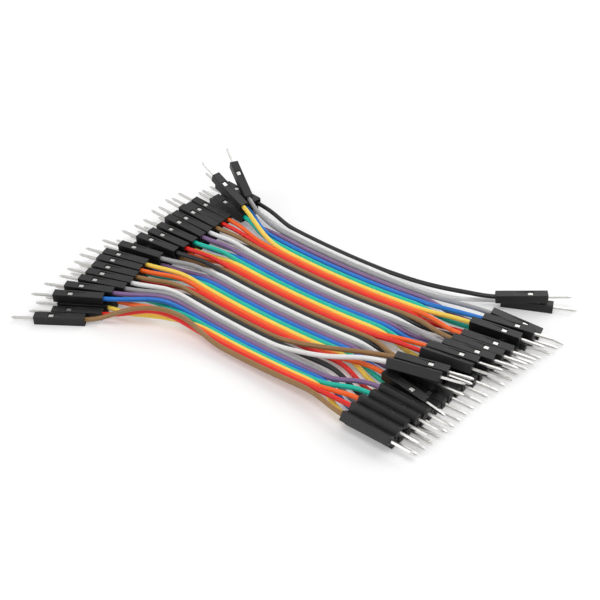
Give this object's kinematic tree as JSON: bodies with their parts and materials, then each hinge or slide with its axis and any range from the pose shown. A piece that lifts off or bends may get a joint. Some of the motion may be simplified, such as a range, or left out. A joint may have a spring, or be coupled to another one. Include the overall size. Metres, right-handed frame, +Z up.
{
  "type": "breadboard jumper wire ribbon",
  "caption": "Flat rainbow ribbon of bonded breadboard jumper wires, each ending in black crimp housings with square pins at both ends.",
  "frame": {"origin": "centre of the bounding box's underside, at the surface that the lower layer of housings lies on", "axes": "+X along the ribbon, +Y across it towards the first black lead, +Z up"},
  "size_m": [0.1278, 0.0956, 0.0137],
  "materials": {
    "black_insulation": "glossy PVC insulation",
    "white_insulation": "glossy PVC insulation",
    "grey_insulation": "glossy PVC insulation",
    "purple_insulation": "glossy PVC insulation",
    "blue_insulation": "glossy PVC insulation",
    "green_insulation": "glossy PVC insulation",
    "yellow_insulation": "glossy PVC insulation",
    "orange_insulation": "glossy PVC insulation",
    "red_insulation": "glossy PVC insulation",
    "brown_insulation": "glossy PVC insulation",
    "housing_plastic": "black moulded nylon, satin",
    "contact_metal": "bright tin plated"
  },
  "bodies": {
    "root": {"lead_01_black": "black_insulation", "housing_01_left": "housing_plastic", "contact_01_left": "contact_metal", "housing_01_right": "housing_plastic", "contact_01_right": "contact_metal", "lead_02_white": "white_insulation", "housing_02_left": "housing_plastic", "contact_02_left": "contact_metal", "housing_02_right": "housing_plastic", "contact_02_right": "contact_metal", "jumper_03_grey": "grey_insulation", "jumper_04_purple": "purple_insulation", "jumper_05_blue": "blue_insulation", "jumper_06_green": "green_insulation", "jumper_07_yellow": "yellow_insulation", "jumper_08_orange": "orange_insulation", "jumper_09_red": "red_insulation", "jumper_10_brown": "brown_insulation", "jumper_11_black": "black_insulation", "jumper_12_white": "white_insulation", "jumper_13_grey": "grey_insulation", "jumper_14_purple": "purple_insulation", "jumper_15_blue": "blue_insulation", "jumper_16_green": "green_insulation", "jumper_17_yellow": "yellow_insulation", "jumper_18_orange": "orange_insulation", "jumper_19_red": "red_insulation", "jumper_20_brown": "brown_insulation", "jumper_21_black": "black_insulation", "jumper_22_white": "white_insulation", "jumper_23_grey": "grey_insulation", "jumper_24_purple": "purple_insulation", "jumper_25_blue": "blue_insulation", "jumper_26_green": "green_insulation", "jumper_27_yellow": "yellow_insulation", "jumper_28_orange": "orange_insulation", "jumper_29_red": "red_insulation", "jumper_30_brown": "brown_insulation", "jumper_31_black": "black_insulation", "lead_32_white": "white_insulation", "housing_32_left": "housing_plastic", "contact_32_left": "contact_metal", "housing_32_right": "housing_plastic", "contact_32_right": "contact_metal", "jumper_33_grey": "grey_insulation", "jumper_34_purple": "purple_insulation", "jumper_35_blue": "blue_insulation", "jumper_36_green": "green_insulation", "jumper_37_yellow": "yellow_insulation", "jumper_38_orange": "orange_insulation", "jumper_39_red": "red_insulation", "lead_40_brown": "brown_insulation", "housing_40_left": "housing_plastic", "contact_40_left": "contact_metal", "housing_40_right": "housing_plastic", "contact_40_right": "contact_metal"}
  },
  "joints": []
}
